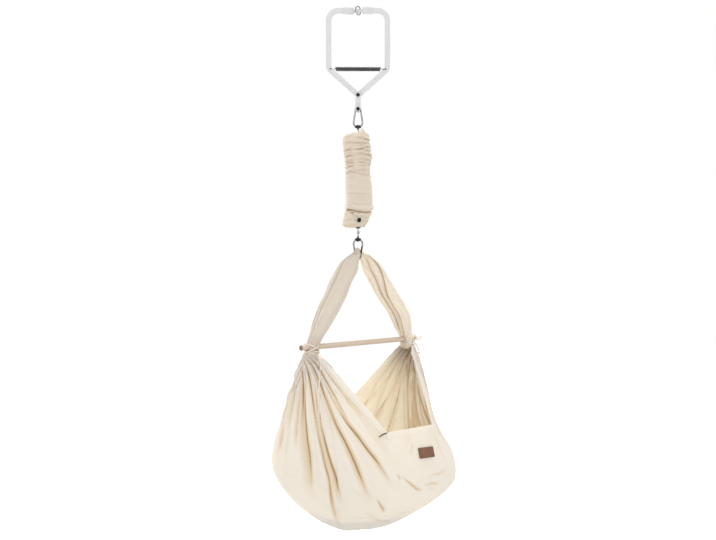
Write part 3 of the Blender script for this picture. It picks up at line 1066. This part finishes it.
def cloth_faces(sweeps, drops, hemmed):
    """The cloth's outer and inner faces over a grid, its cut size and its hollows."""
    drop, sweep = np.meshgrid(drops, sweeps, indexing="ij")
    places, facing = plain_cloth(sweep, drop), cloth_facing(sweep, drop)
    height, hollow = fold_shape(sweep, drop, places, facing)
    pleats = gathers(places)
    height = height + pleats
    deepest = np.clip(-pleats / 5.5, -0.85, 0.85) * (1 - ramp(drop, 0.4, 0.75)) * ramp(drop, 0.01, 0.08)
    hollow = np.where(np.abs(deepest) > np.abs(hollow), deepest, hollow)
    across, down = sweep / 360, drop / 2
    billow = cloud_over(across, down, 16, 7, 41) * 3.2 + 1.8 * cloud_over(across, down, 42, 17, 42)
    turned = turned_from(sweep, 0)
    # Short pressed creases, where the cloth was crushed when it was packed.
    crush = bell(cloud_over(across, down, 30, 12, 43), 0.1)
    crush = crush * ramp(cloud_over(across, down, 13, 6, 44), -0.05, 0.35) * ramp(drop, 0.15, 0.5)
    under_label = np.exp(-(((turned - LABEL_PLACE[0]) / 13) ** 4) - ((drop - LABEL_PLACE[1]) / 0.3) ** 4)
    height = height + billow * ramp(drop, 0.08, 0.5) * (1 - 0.7 * ramp(drop, 1.7, 1.95)) * (1 - under_label)
    height = height + slump(sweep, drop) - CRUSH_DEPTH * crush * (1 - under_label)
    # The right end's inner face is in warm shade, seen from the front.
    warm = ramp(turned, -16, -8) * (1 - ramp(turned, 14.5, 15.8)) * (1 - ramp(drop, 0.9, 1.2))
    hollow = np.where(hollow > 0.03, hollow, hollow - WARM_SHARE * warm * (1 + hollow))
    thickness = CLOTH
    if hemmed:
        gap, along = rim_gap(places)
        in_hem = 1 - ramp(gap, HEM_WIDTH - 2, HEM_WIDTH)
        stitch_line = bell(gap - HEM_WIDTH + 3, 1.4)
        wave = along * 2 * math.pi / PUCKER_PITCH + 1.4 * np.sin(along / 31)
        height = height * (0.25 + 0.75 * ramp(gap, 2, 30)) + HEM_EXTRA * in_hem * 0.5
        height = height - STITCH_SINK * stitch_line + PUCKER_HEIGHT * np.cos(wave) * bell(gap - 18, 12)
        hollow = hollow * ramp(gap, 4, 26) + 0.12 * stitch_line
        thickness = CLOTH + HEM_EXTRA * in_hem
    outer = places + facing * height[..., None]
    inner = places + facing * (height - thickness)[..., None]
    long = np.cumsum(np.linalg.norm(np.diff(places, axis=0, prepend=places[:1]), axis=-1), axis=0)
    wide = (sweep - sweeps[0]) * 4.6
    to_neck = np.min([np.linalg.norm(places - (gather_x(side), 0, -NECK_DROP), axis=-1)
                      for side in (-1, 1)], 0)
    # The far side is the most worn, and lets more light through.
    worn = np.exp(-(((turned - 90) / 72) ** 4)) * (1 - ramp(drop, 1.2, 1.7))
    layered = bell(to_neck, 95) * (1 + WORN_SHARE * worn) - WORN_SHARE * worn
    return hung(outer), hung(inner), np.stack([wide, long], -1), hollow, layered


DROPS = np.concatenate([np.linspace(0, 0.12, 26)[:-1], np.linspace(0.12, FLOOR_SEAM, 150)])
# A panel is cut from three quarters of its flat rectangle, whose ratio of sides stands last here.
PANELS = [("right_end_cloth", "end_panel_right", -SEAM, SEAM, 170, (0.5, 0.68)),
          ("far_side_cloth", "side_panel_far", SEAM, 180 - SEAM, 270, (0.95, 0.5)),
          ("left_end_cloth", "end_panel_left", 180 - SEAM, 180 + SEAM, 170, (0.5, 0.68)),
          ("near_side_cloth", "side_panel_near", 180 + SEAM, 360 - SEAM, 270, (0.95, 0.5))]
for cloth_name, replaced, first, last, columns, flat in PANELS:
    sweeps = np.linspace(first, last, columns)
    outer, inner, cut, hollow, layered = cloth_faces(sweeps, DROPS, "side" in cloth_name)
    panel = lined_cloth(cloth_name, outer, inner, False, canvas, cut, hollow, layered)
    settle(panel, "cradle", replaced)

# Floor: one oval of the same canvas, sewn to the four panels.
drops = np.linspace(FLOOR_SEAM + 0.002, 1.985, 70)
sweeps = np.linspace(0, 360, 300, endpoint=False)
outer, inner, cut, hollow, layered = cloth_faces(sweeps, drops, False)
floor_cloth = lined_cloth("floor_cloth", outer, inner, True, canvas, outer[..., :2], hollow, layered)
settle(floor_cloth, "cradle", "floor_panel")

# Corner mark: a short bar tack in dark thread closes the hem's corner beside the near rim's left end.
mark_sweep, mark_drop = np.linspace(236.0, 240.2, 9), np.linspace(0.228, 0.02, 9)
tack_line = hung(plain_cloth(mark_sweep, mark_drop) + cloth_facing(mark_sweep, mark_drop) * 2.6)
thread, tree, shader = start_material("dark_polyester_thread")
cut = node(tree, "ShaderNodeAttribute", attribute_name="cut_m").outputs["Vector"]
wrap = node(tree, "ShaderNodeTexWave", {"Vector": cut, "Scale": 160.0, "Distortion": 0.4},
            bands_direction="Z").outputs["Fac"]
tint = node(tree, "ShaderNodeMix", {0: wrap, MIX_A: linear("#4b4238"), MIX_B: linear("#6f6354")},
            data_type="RGBA").outputs[MIXED]
fill_inputs(tree, shader, {"Base Color": tint, "Roughness": 0.6})
tack = tube("corner_bar_tack", tack_line, 1.7, 12, thread, lobes=2, lobe_share=0.3, twist=1.6)
settle(tack, "cradle")

# Mattress: a slim pad in a cotton jersey cover that lies on the floor of the cradle, with a soft crown and
# a drawn-in edge.
MATTRESS_THICKNESS = 36
PAD_CLEARANCE = 4.0
jersey = cotton("cotton_jersey_cover", "#f2f0eb", "#d9c8aa", 18, 0.3)
crown = [(1.985, 1.07), (1.93, 1.06), (1.82, 1.03), (1.7, 0.98), (1.6, 0.92), (1.54, 0.82), (1.5, 0.68),
         (1.482, 0.5), (1.484, 0.3), (1.5, 0.12), (1.54, 0.03), (1.6, 0.0), (1.72, 0.0), (1.85, 0.0),
         (1.985, 0.0)]
profile = smooth_route([(level * 100, share * MATTRESS_THICKNESS, 0) for level, share in crown], 4)
sweep = np.linspace(0, 360, 120, endpoint=False)
rings = []
for level, lift, _ in profile:
    places, facing = plain_cloth(sweep, level / 100), cloth_facing(sweep, level / 100 + 0 * sweep)
    rings.append(hung(places - facing * (lift + PAD_CLEARANCE)))
rings = np.array(rings)
points = np.concatenate([rings.reshape(-1, 3), [rings[0].mean(0), rings[-1].mean(0)]])
faces = closed_faces(*rings.shape[:2])
flat = points * (1, 1, 0) * MM
pad = mesh_object("mattress_pad", points, faces, jersey, {"cut_m": flat, "hollow": np.zeros(len(points)),
                  "layered": np.ones(len(points))})
settle(pad, "cradle", "mattress")

# Label: a plain piece of brown vegetable-tanned leather, sewn round its edge to the near side. It bears
# nothing.
LABEL = (86, 38, 2)
LABEL_LIFT = 1.6
LABEL_X = 86
LABEL_DROP = 1608
LABEL_CORNER = 4
# It sits a little crooked, and its ends lean.
LABEL_TILT = math.radians(5)
LABEL_SKEW = math.radians(-6)
# The grain's cells are 1.1 mm across.
leather = clouded("vegetable_tanned_leather", (70.0, 4.0), ("#603d27", "#7f573a"), 0.62,
                  relief=("DISTANCE_TO_EDGE", 900.0, 0.35, 0.0003), cut=True)

# The cloth's point behind the label is found step by step.
MEAN_RIM_DROP = 1516
sweep, drop = 270.0, 0.5
for _ in range(60):
    here = plain_cloth(sweep, drop)
    sweep += 0.25 * math.degrees((LABEL_X - here[0]) / BELLY_HALF[0])
    drop += 0.5 * (here[2] + LABEL_DROP) / (BELLY_DROP - MEAN_RIM_DROP)
outward = cloth_facing(np.array(sweep), np.array(drop))
middle = plain_cloth(sweep, drop) + outward * LABEL_LIFT
level = unit(np.cross((0, 0, 1), -outward))
upright = np.cross(level, -outward)
beside = level * math.cos(LABEL_TILT) - upright * math.sin(LABEL_TILT)
upward = upright * math.cos(LABEL_SKEW) + level * math.sin(LABEL_SKEW)


def on_label(u, v, lift):
    return hung(middle + beside * u + upward * v + outward * lift)


outline = []
for corner_x, corner_y, first in [(1, 1, 0), (-1, 1, 90), (-1, -1, 180), (1, -1, 270)]:
    for step in range(7):
        angle = math.radians(first + 15 * step)
        outline.append((corner_x * (LABEL[0] / 2 - LABEL_CORNER) + LABEL_CORNER * math.cos(angle),
                        corner_y * (LABEL[1] / 2 - LABEL_CORNER) + LABEL_CORNER * math.sin(angle)))
outline = np.array(outline)
levels = [(0.985, 0), (1.0, 0.3), (1.0, 1.5), (0.985, 1.9), (0.95, LABEL[2]), (0.6, LABEL[2] + 0.15),
          (0.25, LABEL[2] + 0.2)]
label_points = [on_label(u * s, v * s, lift) for s, lift in levels for u, v in outline]
label_points += [on_label(0, 0, 0), on_label(0, 0, LABEL[2] + 0.2)]
flat = [(u * s, v * s, lift) for s, lift in levels for u, v in outline] + [(0, 0, 0), (0, 0, 2)]
patch = mesh_object("leather_patch", label_points, closed_faces(len(levels), len(outline)), leather,
                    {"cut_m": np.array(flat) * MM})
settle(patch, "cradle", "leather_label")

# Its thread: a running stitch in waxed brown linen, 3.5 mm inside the leather's edge, 5 mm a stitch.
STITCH_INSET = 3.5
STITCH_LENGTH = 5
drawn_in = 1 - 2 * STITCH_INSET / np.array(LABEL[:2])
seam_line = np.concatenate([outline * drawn_in, outline[:1] * drawn_in])
seam_line = smooth_route(np.column_stack([seam_line, np.zeros(len(seam_line))]), 12)
travel = travelled(seam_line)
steps = np.linspace(0, travel[-1], 700)
stitches = [on_label(np.interp(s, travel, seam_line[:, 0]), np.interp(s, travel, seam_line[:, 1]),
                     LABEL[2] - 0.25 + 0.75 * math.cos(2 * math.pi * s / STITCH_LENGTH)) for s in steps]
settle(tube("label_stitches", stitches, 0.45, 8, thread), "cradle")
